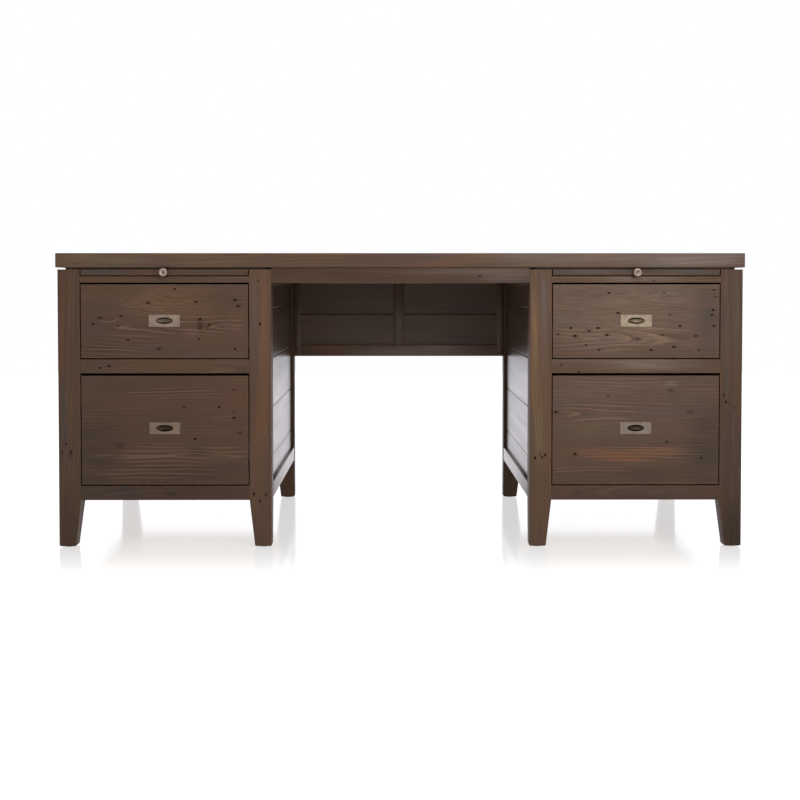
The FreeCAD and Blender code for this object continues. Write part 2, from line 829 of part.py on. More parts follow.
def build():
    nodes = {
        "desk_top": desk_top(),
        "top_spacers": top_spacers(),
        "top_bolts": top_bolts(),
        "foot_glides": foot_glides(),
        "back_rails": back_rails(),
        "bottom_boards": bottom_boards(),
        "kneehole_apron": kneehole_apron(),
        "apron_glue_blocks": apron_glue_blocks(),
        "modesty_stiles": modesty_stiles(),
        "modesty_rails": modesty_rails(),
        "modesty_panels": modesty_panels(),
        "slide_cleats": slide_cleats(),
        "tray_runners": tray_runners(),
    }
    cabinet_members = []
    for name, side in SIDES.items():
        nodes[name + "_posts"] = posts(side)
        nodes[name + "_front_rails"] = front_rails(side)
        nodes[name + "_side_rails"] = side_rails(side)
        nodes[name + "_outer_side_panel"] = side_panel(side, False)
        nodes[name + "_inner_side_panel"] = side_panel(side, True)
        nodes[name + "_back_panel"] = back_panel(side)
        nodes[name + "_tray_board"] = tray_board(side)
        nodes[name + "_tray_knob"] = tray_knob(side)
        for level, drawer in DRAWERS.items():
            grooves = file_rail_spans(drawer) if level == "lower" else []
            prefix = name + "_" + level + "_"
            nodes[prefix + "drawer_front"] = drawer_front(side, drawer)
            nodes[prefix + "drawer_sides"] = box_sides(side, drawer)
            nodes[prefix + "drawer_ends"] = box_ends(side, drawer, grooves)
            nodes[prefix + "drawer_bottom"] = in_pedestal(side, *bottom_span(drawer))
            nodes[prefix + "drawer_pull"] = pull(side, drawer)
            nodes[prefix + "drawer_slides"] = Part.makeCompound(slide_pair(side, drawer, "drawer"))
            nodes[prefix + "middle_slides"] = Part.makeCompound(slide_pair(side, drawer, "middle"))
            cabinet_members += slide_pair(side, drawer, "cabinet")
        nodes[name + "_lower_file_rails"] = file_rails(side, DRAWERS["lower"])
    nodes["cabinet_slides"] = Part.makeCompound(cabinet_members)
    return nodes


os.makedirs("parts", exist_ok=True)
for node_name, shape in build().items():
    shape.exportStep("parts/" + node_name + ".step")
    volume = sum(solid.Volume for solid in shape.Solids)
    print(node_name, len(shape.Solids), "solids", round(volume / 1000), "cm3", "valid", shape.isValid())
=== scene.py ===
import json
import math
import random

import bpy
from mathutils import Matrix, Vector


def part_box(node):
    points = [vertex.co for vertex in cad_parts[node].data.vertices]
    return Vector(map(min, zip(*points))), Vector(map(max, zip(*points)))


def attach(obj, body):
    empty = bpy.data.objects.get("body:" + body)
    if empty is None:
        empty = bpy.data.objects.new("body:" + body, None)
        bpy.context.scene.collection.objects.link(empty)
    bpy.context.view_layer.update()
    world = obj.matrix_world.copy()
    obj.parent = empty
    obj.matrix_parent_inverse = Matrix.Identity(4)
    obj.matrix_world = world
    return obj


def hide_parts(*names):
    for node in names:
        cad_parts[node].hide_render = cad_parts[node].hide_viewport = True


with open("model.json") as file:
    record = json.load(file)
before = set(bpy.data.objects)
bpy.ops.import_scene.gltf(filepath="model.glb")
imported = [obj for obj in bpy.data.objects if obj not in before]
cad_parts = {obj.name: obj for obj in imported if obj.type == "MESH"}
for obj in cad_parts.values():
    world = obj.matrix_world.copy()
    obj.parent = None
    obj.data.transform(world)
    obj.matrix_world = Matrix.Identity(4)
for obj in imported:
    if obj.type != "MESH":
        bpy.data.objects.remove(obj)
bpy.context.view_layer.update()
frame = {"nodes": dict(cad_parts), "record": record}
mm = 0.001

# Standpoint
# The desk is photographed square on, from a little below the height of its top and about four metres in
# front of its middle. The lens looks slightly down, and the square frame is cut so that the horizon lies
# above its middle.
frame_pixels = 800
standpoint = Vector((-22.2 * mm, -4095.0 * mm, 677.8 * mm))
look_down = math.radians(1.9669)
look_right = math.radians(0.3257)
lens_mm = 63.682
sensor_mm = 36.0
frame_shift = -0.082

bpy.ops.object.camera_add(location=standpoint, rotation=(math.radians(90) - look_down, 0, -look_right))
camera = bpy.context.object
camera.data.sensor_width = sensor_mm
camera.data.lens = lens_mm
camera.data.shift_y = frame_shift
bpy.context.scene.camera = camera
bpy.context.view_layer.update()


def seen_at(pixel, plane_y):
    # The point of an upright plane across the desk that the photograph shows at a pixel
    across = (pixel[0] / frame_pixels - 0.5) * sensor_mm / lens_mm
    up = (0.5 - pixel[1] / frame_pixels + frame_shift) * sensor_mm / lens_mm
    ray = camera.matrix_world.to_3x3() @ Vector((across, up, -1))
    return standpoint + ray * ((plane_y - standpoint.y) / ray.y)


# Posts
# Eight square posts of reclaimed softwood run from the foot glides to just under the top and taper on
# their two inner faces below the lowest rail. They are planed, stained dark, rubbed back on the arrises
# and lacquered satin.

# Old nail holes are named by their pixels in the photograph. A stain is a streak or patch of a board, with
# its middle and half size in pixels, its colour and how much of it shows; a few, marked where they stand,
# are painted shade or painted sheen instead.
post_nails = {
    "left_posts": [
        (66, 444), (62, 453), (71, 452), (70, 456), (258, 281), (260, 324), (266, 495), (254, 494),
        (260, 501)],
    "right_posts": [(535, 458), (540, 454), (545, 455), (542, 457), (724, 395), (726, 402), (735, 408)],
}
post_stains = {
    "left_posts": [
        ((63, 320), (5, 70), "#62402d", 0.6), ((71, 300), (5, 60), "#57492f", 0.5),
        ((64, 415), (5, 50), "#42393a", 0.7), ((70, 420), (4, 40), "#5c4230", 0.5),
        ((255, 330), (5, 70), "#54443d", 0.5), ((264, 360), (6, 110), "#69472f", 0.7),
        # The last stain on this line darkens the left outer post at its foot: painted shade.
        ((259, 470), (7, 40), "#4d382a", 0.6), ((68, 525), (16, 45), "#3f3026", 0.75)],
    "right_posts": [
        ((535, 350), (5, 90), "#6a5337", 0.7), ((544, 320), (5, 60), "#5c5048", 0.6),
        ((540, 430), (8, 50), "#5f4c34", 0.6), ((727, 340), (5, 80), "#4c423d", 0.7),
        # The last stain on this line and the one on the next darken the right outer post low down: painted
        # shade.
        ((736, 330), (4, 60), "#5c4c40", 0.6), ((732, 460), (12, 60), "#42352d", 0.8),
        ((732, 530), (16, 50), "#2f231b", 1.0)],
}
post_nail_half_mm = (2.4, 3.6)
post_rust_half_mm = (6, 14)
# Tone of each post in turn: 0.5 leaves the wood as its colours are, less is darker and more is paler
post_tones = {"left_posts": [0.33, 0.4, 0.67, 0.4], "right_posts": [0.7, 0.4, 0.3, 0.4]}
post_roughness = 0.5
# Width on the desk's front of one pixel of the photograph
pixel_mm = 2.58
front_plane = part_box("left_posts")[0].y
body_of = {n: b for b, nodes in frame["record"]["behaviour"]["bodies"].items() for n in nodes}
ALONG_X, ALONG_Y, ALONG_Z = range(3)


def linear(code):
    # A colour written as an sRGB hex value, in the linear light that shaders work in
    channels = [int(code[i:i + 2], 16) / 255 for i in (1, 3, 5)]
    return [c / 12.92 if c <= 0.04045 else ((c + 0.055) / 1.055) ** 2.4 for c in channels] + [1]


def add(tree, kind, inputs, **settings):
    # One shader node with its settings; an input is a plain value or another node's output
    made = tree.nodes.new("ShaderNode" + kind)
    for name, value in settings.items():
        setattr(made, name, value)
    for socket, value in inputs.items():
        if isinstance(value, bpy.types.NodeSocket):
            tree.links.new(value, made.inputs[socket])
        else:
            made.inputs[socket].default_value = value
    return made


def start_material(name):
    # A new material, with its node tree and the shader of its surface
    material = bpy.data.materials.new(name)
    material.use_nodes = True
    return material, material.node_tree, material.node_tree.nodes["Principled BSDF"]


def pine(name, colours, roughness, relief_mm=0.04, stretch=1, sheen=0.18, figure=(), stains=(), knots=(),
         nails=(), rust_half_mm=()):
    # Planed pine cut from a log: rings round the heart show as long lines on the faces and arcs on the
    # ends. Early wood drinks more stain than the hard late wood, so on stained pine the late wood lines
    # stay pale. Fibres are drawn about three times as coarse as real ones, so that they show at the
    # photograph's scale. Stretch draws the marks out along boards of straight grain, and sheen is how much
    # the surface mirrors. Figure, knots and stains are spots on one piece, each with its middle, half size
    # and, for a stain, its colour and share; some stains are painted shade or painted sheen. Rings swell
    # under a spot of figure, as over a hidden knot. Rust darkens the wood at nails.
    ring_mm, sway_mm, swell_rings = 9, 24, 0.5
    early_end, late_start, late_peak, late_end = 0.35, 0.6, 0.88, 0.9
    rust_depth_mm, rust_faintest, knot_most = 20, 0.5, 0.7
    lacquer_ior = 1.5
    # Length and width of each kind of mark, and how many finer layers it has
    marks_mm = {"sway": (360, 80, 2), "figure": (260, 45, 3), "fibres": (140, 3.2, 3), "deep": (340, 48, 4),
                "warm": (280, 34, 3), "cool": (240, 30, 3), "wear": (30, 30, 3)}
    # Each kind of mark is taken from another stretch of the noise
    apart = 11.0
    # How levels of the noise, steps from a spot and a board's tone turn into shares and shades
    tints = {"deep": {"From Min": 0.35, "From Max": 0.68, "To Max": 0.6},
             "warm": {"From Min": 0.48, "From Max": 0.74, "To Max": 0.55},
             "cool": {"From Min": 0.48, "From Max": 0.74, "To Max": 0.55}}
    figured = {"From Min": 0.52, "From Max": 0.72}
    clear_figure = {"From Max": 0.4, "To Max": 1}
    patches = {"From Min": 0.35, "From Max": 0.6, "To Min": 0.5, "To Max": 1}
    streaks = {"From Min": 0.35, "From Max": 0.62, "To Min": 0.45, "To Max": 1.25}
    stain_edge = {"From Min": 1.2, "From Max": 0.1}
    rust_edge = {"From Min": 1.0, "From Max": 0.2, "To Max": 0.65}
    fibre_shades = {"From Min": 0.25, "From Max": 0.75, "To Min": 0.92, "To Max": 1.08}
    board_shades = {"To Min": 0.7, "To Max": 1.3}
    rubbed_share = {"From Min": 0.42, "From Max": 0.62, "To Max": 0.4}
    unevenness = {"From Min": 0.25, "From Max": 0.75, "To Min": roughness * 0.88, "To Max": roughness * 1.15}

    material, tree, shader = start_material(name)
    grain = add(tree, "Attribute", {}, attribute_name="grain").outputs["Vector"]
    place = add(tree, "TexCoord", {}).outputs["Object"]
    noise = {}
    for order, (use, (length, width, layers)) in enumerate(marks_mm.items()):
        scale = (1 / (length * stretch * mm), 1 / (width * mm), 1 / (width * mm))
        laid = add(tree, "Mapping", {"Vector": grain, "Location": [order * apart] * 3, "Scale": scale})
        noise[use] = add(tree, "TexNoise", {"Vector": laid.outputs[0], "Scale": 1, "Detail": layers})

    def steps_from(middle, half, start):
        # How far a place lies from the middle of an oval spot, counted in half sizes of the spot
        local = add(tree, "Mapping", {"Vector": start, "Location": middle, "Scale": half},
                    vector_type="TEXTURE")
        return add(tree, "VectorMath", {0: local.outputs[0]}, operation="LENGTH").outputs["Value"]

    sway = sway_mm * mm
    bend = add(tree, "VectorMath", {0: noise["sway"].outputs["Color"], 1: (0, sway, sway),
                                    2: (0, -sway / 2, -sway / 2)}, operation="MULTIPLY_ADD").outputs[0]
    loosened = add(tree, "VectorMath", {0: place, 1: bend}).outputs[0]
    spot = {"figure": 0.0, "knot": 0.0}
    for use, spots in {"figure": figure, "knot": knots}.items():
        for middle, half in spots:
            inside = add(tree, "MapRange", {"Value": steps_from(middle, half, loosened), "From Min": 1.0,
                                            "From Max": 0.0})
            spot[use] = add(tree, "Math", {0: spot[use], 1: inside.outputs[0]},
                            operation="MAXIMUM").outputs[0]
    nearest = 1.0
    chance = random.Random(name)
    for nail in nails:
        half = (rust_half_mm[0] * mm, rust_depth_mm * mm, rust_half_mm[1] * mm)
        faint = add(tree, "Math", {0: steps_from(nail, half, place), 1: chance.uniform(0, rust_faintest)})
        nearest = add(tree, "Math", {0: nearest, 1: faint.outputs[0]}, operation="MINIMUM").outputs[0]

    # Year rings: dark early wood, then a line of late wood, clearest where the board has figure
    bent = add(tree, "VectorMath", {0: grain, 1: bend})
    flat = add(tree, "VectorMath", {0: bent.outputs[0], 1: (0, 1 / (ring_mm * mm), 1 / (ring_mm * mm))},
               operation="MULTIPLY")
    rings = add(tree, "VectorMath", {0: flat.outputs[0]}, operation="LENGTH")
    swollen = add(tree, "Math", {0: spot["figure"], 1: swell_rings, 2: rings.outputs["Value"]},
                  operation="MULTIPLY_ADD")
    year = add(tree, "Math", {0: swollen.outputs[0]}, operation="FRACT").outputs[0]
    rise = add(tree, "MapRange", {"Value": year, "From Min": late_start, "From Max": late_peak},
               interpolation_type="SMOOTHSTEP")
    fall = add(tree, "MapRange", {"Value": year, "From Min": 1.0, "From Max": late_end},
               interpolation_type="SMOOTHSTEP")
    line = add(tree, "Math", {0: rise.outputs[0], 1: fall.outputs[0]}, operation="MULTIPLY")
    shown = add(tree, "MapRange", {"Value": noise["figure"].outputs["Fac"], **figured,
                                   "To Min": colours["figure_least"], "To Max": colours["figure_most"]})
    clearest = add(tree, "MapRange", {"Value": spot["figure"], **clear_figure},
                   interpolation_type="SMOOTHSTEP")
    shown = add(tree, "Math", {0: shown.outputs[0], 1: clearest.outputs[0]}, operation="MAXIMUM")
    drawn = add(tree, "Math", {0: line.outputs[0], 1: shown.outputs[0]}, operation="MULTIPLY")
    soft = add(tree, "MapRange", {"Value": year, "From Max": early_end, "To Min": colours["early_share"],
                                  "To Max": 0})
    early = add(tree, "Math", {0: soft.outputs[0], 1: shown.outputs[0]}, operation="MULTIPLY")

    # Colour: the wood and tints of stain, then streaks and spots of painted shade and sheen, rings, knots,
    # rust, fibres and rubbed arrises
    colour = linear(colours["wood"])
    for use, levels in tints.items():
        share = add(tree, "MapRange", {"Value": noise[use].outputs["Fac"], **levels})
        colour = add(tree, "Mix", {0: share.outputs[0], 6: colour, 7: linear(colours[use])},
                     data_type="RGBA").outputs[2]
    patchy = add(tree, "MapRange", {"Value": noise["cool"].outputs["Fac"], **patches})
    streaky = add(tree, "MapRange", {"Value": noise["fibres"].outputs["Fac"], **streaks})
    soaked = add(tree, "Math", {0: patchy.outputs[0], 1: streaky.outputs[0]}, operation="MULTIPLY")
    # Stains: streaks of the board, and a few spots of painted shade and painted sheen
    for middle, half, code, most in stains:
        inside = add(tree, "MapRange", {"Value": steps_from(middle, half, loosened), **stain_edge,
                                        "To Max": most}, interpolation_type="SMOOTHSTEP")
        share = add(tree, "Math", {0: inside.outputs[0], 1: soaked.outputs[0]}, operation="MULTIPLY")
        colour = add(tree, "Mix", {0: share.outputs[0], 6: colour, 7: linear(code)},
                     data_type="RGBA").outputs[2]
    colour = add(tree, "Mix", {0: early.outputs[0], 6: colour, 7: linear(colours["knot"])},
                 data_type="RGBA").outputs[2]
    pale = add(tree, "Math", {0: drawn.outputs[0], 1: colours["line_share"]}, operation="MULTIPLY")
    colour = add(tree, "Mix", {0: pale.outputs[0], 6: colour, 7: linear(colours["line"])},
                 data_type="RGBA").outputs[2]
    dark = add(tree, "MapRange", {"Value": spot["knot"], "To Max": knot_most},
               interpolation_type="SMOOTHSTEP")
    rust = add(tree, "MapRange", {"Value": nearest, **rust_edge}, interpolation_type="SMOOTHSTEP")
    dark = add(tree, "Math", {0: dark.outputs[0], 1: rust.outputs[0]}, operation="MAXIMUM")
    colour = add(tree, "Mix", {0: dark.outputs[0], 6: colour, 7: linear(colours["knot"])},
                 data_type="RGBA").outputs[2]
    fibre = add(tree, "MapRange", {"Value": noise["fibres"].outputs["Fac"], **fibre_shades})
    tone = add(tree, "Attribute", {}, attribute_name="tone").outputs["Fac"]
    board = add(tree, "MapRange", {"Value": tone, **board_shades}, clamp=False)
    shade = add(tree, "Math", {0: fibre.outputs[0], 1: board.outputs[0]}, operation="MULTIPLY")
    colour = add(tree, "Mix", {0: 1.0, 6: colour, 7: shade.outputs[0]}, data_type="RGBA",
                 blend_type="MULTIPLY").outputs[2]
    arris = add(tree, "Attribute", {}, attribute_name="arris").outputs["Fac"]
    rubbed = add(tree, "MapRange", {"Value": noise["wear"].outputs["Fac"], **rubbed_share})
    worn = add(tree, "Math", {0: rubbed.outputs[0], 1: arris}, operation="MULTIPLY")
    colour = add(tree, "Mix", {0: worn.outputs[0], 6: colour, 7: linear(colours["line"])},
                 data_type="RGBA").outputs[2]
    tree.links.new(colour, shader.inputs["Base Color"])

    # The lacquer is a little uneven, and the fibres stand up through it
    gloss = add(tree, "MapRange", {"Value": noise["cool"].outputs["Fac"], **unevenness})
    tree.links.new(gloss.outputs[0], shader.inputs["Roughness"])
    if relief_mm:
        relief = add(tree, "Math", {0: noise["fibres"].outputs["Fac"], 1: drawn.outputs[0]})
        bump = add(tree, "Bump", {"Height": relief.outputs[0], "Strength": 1, "Distance": relief_mm * mm})
        tree.links.new(bump.outputs[0], shader.inputs["Normal"])
    shader.inputs["IOR"].default_value = lacquer_ior
    shader.inputs["Specular IOR Level"].default_value = sheen
    return material


# Dark brown stain under satin lacquer: pale lines of late wood, near black knots and a dull sheen
stained = {"wood": "#513c2c", "deep": "#423124", "warm": "#5c3d2b", "cool": "#493a35", "line": "#7b614a",
           "knot": "#2a1a10", "line_share": 0.5, "early_share": 0.3, "figure_least": 0.1, "figure_most": 0.6}
satin_roughness = 0.34


def reclaimed_pine(node, roughness=satin_roughness, **marks):
    # Stained pine with the marks of one piece's own boards
    return pine("stained reclaimed pine of " + node.replace("_", " "), stained, roughness, **marks)


# Old nail holes: rust and dirt have blackened them, and no lacquer shines inside
nail_hole, tree, shader = start_material("blackened nail hole")
shader.inputs["Base Color"].default_value = linear("#2f2117")
shader.inputs["Roughness"].default_value = 0.9
shader.inputs["Specular IOR Level"].default_value = 0


def pick(piece):
    # Makes one piece the only selected and active one
    bpy.ops.object.select_all(action="DESELECT")
    piece.select_set(True)
    bpy.context.view_layer.objects.active = piece


def timber(node, ease_mm=0):
    # A wooden piece from its solid: triangles joined into whole faces, and square arrises eased
    merge_mm, flat_degrees, arris_degrees, ease_steps = 0.01, 0.5, 50, 2
    piece = bpy.data.objects.new(node + "_timber", frame["nodes"][node].data.copy())
    bpy.context.collection.objects.link(piece)
    piece.data.materials.clear()
    pick(piece)
    bpy.ops.mesh.customdata_custom_splitnormals_clear()
    bpy.ops.object.mode_set(mode="EDIT")
    bpy.ops.mesh.select_all(action="SELECT")
    bpy.ops.mesh.remove_doubles(threshold=merge_mm * mm)
    bpy.ops.mesh.dissolve_limited(angle_limit=math.radians(flat_degrees))
    bpy.ops.object.mode_set(mode="OBJECT")
    if ease_mm:
        eased = piece.modifiers.new("Eased arrises", "BEVEL")
        eased.width = ease_mm * mm
        eased.segments = ease_steps
        eased.limit_method = "ANGLE"
        eased.angle_limit = math.radians(arris_degrees)
        eased.use_clamp_overlap = False
        bpy.ops.object.modifier_apply(modifier=eased.name)
    return piece


def nail_holes(piece, places, half_mm=(3.6, 2.4), depth_mm=2.2):
    # Oval pits sunk into a face that looks to the front, no two of the same size or turn
    smallest, largest, most_turn = 0.6, 1.25, 0.3
    chance = random.Random(piece.name)
    cutters = []
    for place in places:
        size = chance.uniform(smallest, largest) * mm
        bpy.ops.object.select_all(action="DESELECT")
        bpy.ops.mesh.primitive_uv_sphere_add(segments=12, ring_count=8, radius=1, location=place,
                                             rotation=(0, chance.uniform(-most_turn, most_turn), 0),
                                             scale=(half_mm[0] * size, depth_mm * size, half_mm[1] * size))
        cutters.append(bpy.context.object)
    for cutter in cutters:
        cutter.select_set(True)
    bpy.ops.object.join()
    cutter = bpy.context.object
    cutter.data.materials.append(nail_hole)
    pick(piece)
    holes = piece.modifiers.new("Nail holes", "BOOLEAN")
    holes.object = cutter
    holes.operation = "DIFFERENCE"
    holes.solver = "EXACT"
    holes.material_mode = "TRANSFER"
    bpy.ops.object.modifier_apply(modifier=holes.name)
    bpy.data.objects.remove(cutter)


def lay_grain(piece, along, joints=(), across=ALONG_Z, tones=(), heart=None):
    # Gives each board of a piece its place in the log it was cut from: x along the log, y and z from its
    # heart. Joints are the places, on the axis across, where one plank of a solid ends and the next
    # begins. Heart is where the log's heart lies from a board's middle: how far aside, how far below, and
    # its lean.
    log_length_m, most_aside, most_lean, square_face = 40, 0.45, 0.07, 0.97
    nearest_heart_mm, farthest_heart_mm = 18, 70
    darker_tone, paler_tone = 0.25, 0.75
    mesh = piece.data
    joined = list(range(len(mesh.vertices)))

    def first(i):
        while joined[i] != i:
            joined[i] = joined[joined[i]]
            i = joined[i]
        return i

    for edge in mesh.edges:
        joined[first(edge.vertices[0])] = first(edge.vertices[1])
    boards = {}
    for face in mesh.polygons:
        plank = sum(face.center[across] > j for j in joints)
        boards.setdefault((first(face.vertices[0]), plank), []).append(face)
    spans = []
    for faces in boards.values():
        corners = [mesh.vertices[i].co for face in faces for i in face.vertices]
        low = Vector(min(c[k] for c in corners) for k in range(3))
        high = Vector(max(c[k] for c in corners) for k in range(3))
        spans.append((tuple((low + high) / 2), tuple(high - low), faces))
    spans.sort(key=lambda span: [round(m, 4) for m in span[0]])

    for name, kind in (("grain", "FLOAT_VECTOR"), ("tone", "FLOAT"), ("arris", "FLOAT")):
        mesh.attributes.new(name, kind, "CORNER")
    grain, tone, arris = (mesh.attributes[name].data for name in ("grain", "tone", "arris"))
    for number, (middle, size, faces) in enumerate(spans):
        chance = random.Random(f"{piece.name} {number}")
        thick, wide = sorted((k for k in range(3) if k != along), key=lambda k: size[k])
        far = chance.uniform(0, log_length_m)
        aside = chance.uniform(-most_aside, most_aside) * size[wide]
        below = chance.uniform(nearest_heart_mm, farthest_heart_mm) * mm
        lean = chance.uniform(-most_lean, most_lean)
        board_tone = chance.uniform(darker_tone, paler_tone)
        if heart:
            aside, below, lean = heart
        if tones:
            board_tone = tones[number % len(tones)]
        for face in faces:
            round_off = 1.0 if max(abs(n) for n in face.normal) < square_face else 0.0
            for corner in face.loop_indices:
                at = mesh.vertices[mesh.loops[corner].vertex_index].co - Vector(middle)
                depth = at[thick] + below + lean * at[along]
                grain[corner].vector = (at[along] + far, at[wide] - aside, depth)
                tone[corner].value = board_tone
                arris[corner].value = round_off


def seat(piece, node):
    # Smooth shading, then the piece stands for its solid and moves with the same body
    smooth_degrees = 35
    pick(piece)
    bpy.ops.object.shade_smooth_by_angle(angle=math.radians(smooth_degrees))
    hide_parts(node)
    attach(piece, body_of[node])


def spots_on_front(pixel_spots):
    # Spots given in the photograph's pixels, as spots that reach right through the desk's front
    through_m = 1
    return [(seen_at(middle, front_plane),
             (half[0] * pixel_mm * mm, through_m, half[1] * pixel_mm * mm), *rest)
            for middle, half, *rest in pixel_spots]


for node, pixels in post_nails.items():
    posts = timber(node)
    nails = [seen_at(pixel, front_plane) for pixel in pixels]
    posts.data.materials.append(reclaimed_pine(
        node, post_roughness, stains=spots_on_front(post_stains[node]), nails=nails,
        rust_half_mm=post_rust_half_mm))
    nail_holes(posts, nails, half_mm=post_nail_half_mm)
    lay_grain(posts, ALONG_Z, tones=post_tones[node])
    seat(posts, node)

# Rails
# Front, side and back rails of the same stained pine are tenoned into the posts, flush with their faces,
# with the arrises just taken off. Those of the sides and back are planed smoother than the front.
rail_ease_mm = 1.0
rail_nails = {
    "left_front_rails": [(100, 368), (109, 366)],
    "right_front_rails": [(561, 365), (579, 372), (654, 281)],
}
rail_stains = {
    "left_front_rails": [
        ((127, 492), (16, 8), "#3e3435", 0.8), ((190, 492), (90, 10), "#463020", 0.6),
        ((171, 495), (6, 3), "#2f1d18", 0.9), ((100, 365), (26, 8), "#463a35", 0.6),
        ((180, 365), (80, 8), "#593f2a", 0.5)],
    "right_front_rails": [
        ((578, 493), (7, 3), "#38241e", 0.8), ((650, 492), (50, 8), "#4b3d36", 0.5),
        ((645, 366), (60, 7), "#6d5e50", 0.6), ((700, 366), (26, 8), "#4e4038", 0.6),
        ((640, 279), (60, 4), "#66574a", 0.6)],
}
rail_rust_half_mm = (14, 6)
rail_tones = {"left_front_rails": [0.0, 0.4, 0.5], "right_front_rails": [0.15, 0.55, 0.65]}
for node, pixels in rail_nails.items():
    rails = timber(node, rail_ease_mm)
    nails = [seen_at(pixel, front_plane) for pixel in pixels]
    rails.data.materials.append(reclaimed_pine(node, stains=spots_on_front(rail_stains[node]), nails=nails,
                                               rust_half_mm=rail_rust_half_mm))
    nail_holes(rails, nails)
    lay_grain(rails, ALONG_X, tones=rail_tones[node])
    seat(rails, node)

# Straight grained pine, planed smooth under a fuller lacquer: at a low angle it mirrors the white room
smooth_pine = pine("smooth stained pine", stained, roughness=0.24, relief_mm=0, stretch=6, sheen=0.5)
for node, along in (("left_side_rails", ALONG_Y), ("right_side_rails", ALONG_Y), ("back_rails", ALONG_X)):
    rails = timber(node, rail_ease_mm)
    rails.data.materials.append(smooth_pine)
    lay_grain(rails, along)
    seat(rails, node)

# Plank panels
# Sides and backs of the pedestals are filled with horizontal planks of the smooth pine, set back from the
# frame, with a V groove at each joint. Every plank comes from another log.
first_groove_mm, plank_mm, grooves = 221.5, 132, 4
groove_levels = [(first_groove_mm + plank_mm * i) * mm for i in range(grooves)]
for node in ("left_outer_side_panel", "left_inner_side_panel", "right_outer_side_panel",
             "right_inner_side_panel", "left_back_panel", "right_back_panel"):
    panel = timber(node)
    panel.data.materials.append(smooth_pine)
    lay_grain(panel, ALONG_X if "back" in node else ALONG_Y, groove_levels)
    seat(panel, node)

# Modesty frame
# A low frame closes the back of the kneehole: stiles, rails and two panels of two planks each, stained
# like the rest. Its lacquer is fuller than the front's, most of all on the rails, and takes a sheen from
# the white floor. Its tones are painted light: paler than the rest, most of all on the rails, to lift the
# shaded kneehole.
# Paler tones, most of all on the rails: painted light in the shaded kneehole
modesty_painted_light_tones = {"modesty_stiles": [1.0], "modesty_rails": [2.0], "modesty_panels": [0.95, 0.85, 0.85, 0.95]}
# How much each kind of piece mirrors
modesty_sheen = {"modesty_stiles": 0.25, "modesty_rails": 0.4, "modesty_panels": 0.25}
for node, along in (("modesty_stiles", ALONG_Z), ("modesty_rails", ALONG_X), ("modesty_panels", ALONG_X)):
    pieces = timber(node, 0 if "panels" in node else rail_ease_mm)
    pieces.data.materials.append(reclaimed_pine(node, sheen=modesty_sheen[node]))
    low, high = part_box(node)
    lay_grain(pieces, along, [(low.z + high.z) / 2] if "panels" in node else (), tones=modesty_painted_light_tones[node])
    seat(pieces, node)

# Kneehole apron
# A plain board of the same stained pine hangs under the top's front edge between the pedestals. Glue
# blocks behind it hold it to the top.
apron_nails = [seen_at((480, 276), front_plane)]
apron_stains = [
    ((417, 277), (26, 7), "#60402f", 0.6), ((300, 277), (30, 6), "#5d4030", 0.5),
    ((380, 276), (130, 9), "#4b301d", 0.6), ((505, 276), (40, 9), "#62554b", 0.6)]
apron_tones = [0.12]
apron = timber("kneehole_apron", rail_ease_mm)
apron.data.materials.append(reclaimed_pine("kneehole_apron", stains=spots_on_front(apron_stains),
                                           nails=apron_nails, rust_half_mm=rail_rust_half_mm))
nail_holes(apron, apron_nails)
lay_grain(apron, ALONG_X, tones=apron_tones)
seat(apron, "kneehole_apron")

# Desk top
# The thick slab is glued up from wide planks that run along the desk, with its edges rounded over. It
# stands on stained spacers that leave a shadow gap over the posts.
top_planks = 6
top_tones = [0.7, 0.4, 0.5, 0.35, 0.6, 0.45]
low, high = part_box("desk_top")
plank_width = (high.y - low.y) / top_planks
top_joints = [low.y + plank_width * (i + 1) for i in range(top_planks - 1)]
top_stains = [
    ((105, 259), (90, 12), "#625240", 0.7), ((215, 259), (60, 12), "#5b4b3c", 0.6),
    ((290, 259), (60, 12), "#4f3a2d", 0.7), ((390, 259), (100, 12), "#47342a", 0.8),
    # The last stain, grey over the right end of the slab, is painted sheen, the haze of the lamp at the
    # right.
    ((560, 259), (90, 12), "#625446", 0.6), ((690, 259), (90, 12), "#6d635e", 0.75)]
top = timber("desk_top")
top.data.materials.append(reclaimed_pine("desk_top", stains=spots_on_front(top_stains)))
pick(top)
bpy.ops.object.mode_set(mode="EDIT")
for joint in top_joints:
    bpy.ops.mesh.select_all(action="SELECT")
    bpy.ops.mesh.bisect(plane_co=(0, joint, 0), plane_no=(0, 1, 0))
bpy.ops.object.mode_set(mode="OBJECT")
lay_grain(top, ALONG_X, top_joints, across=ALONG_Y, tones=top_tones)
seat(top, "desk_top")

spacer_tones = [0.2]
spacers = timber("top_spacers")
spacers.data.materials.append(pine("stained reclaimed pine", stained, satin_roughness))
lay_grain(spacers, ALONG_Y, tones=spacer_tones)
seat(spacers, "top_spacers")

# Hidden carcass pieces
# Bottom boards, slide cleats, tray runners and glue blocks are screwed or glued inside the pedestals and
# under the top. They are planed pine with no finish: pale, warm and matt, with darker lines of late wood.
bare = {"wood": "#b9966b", "deep": "#a8835a", "warm": "#b98a60", "cool": "#b39c79", "line": "#8f6540",
        "knot": "#6b4326", "line_share": 0.55, "early_share": 0, "figure_least": 0.4, "figure_most": 1}
bare_pine = pine("planed pine", bare, roughness=0.62)
for node, along in (("bottom_boards", ALONG_Y), ("slide_cleats", ALONG_Y), ("tray_runners", ALONG_Y),
                    ("apron_glue_blocks", ALONG_X)):
    pieces = timber(node)
    pieces.data.materials.append(bare_pine)
    lay_grain(pieces, along)
    seat(pieces, node)

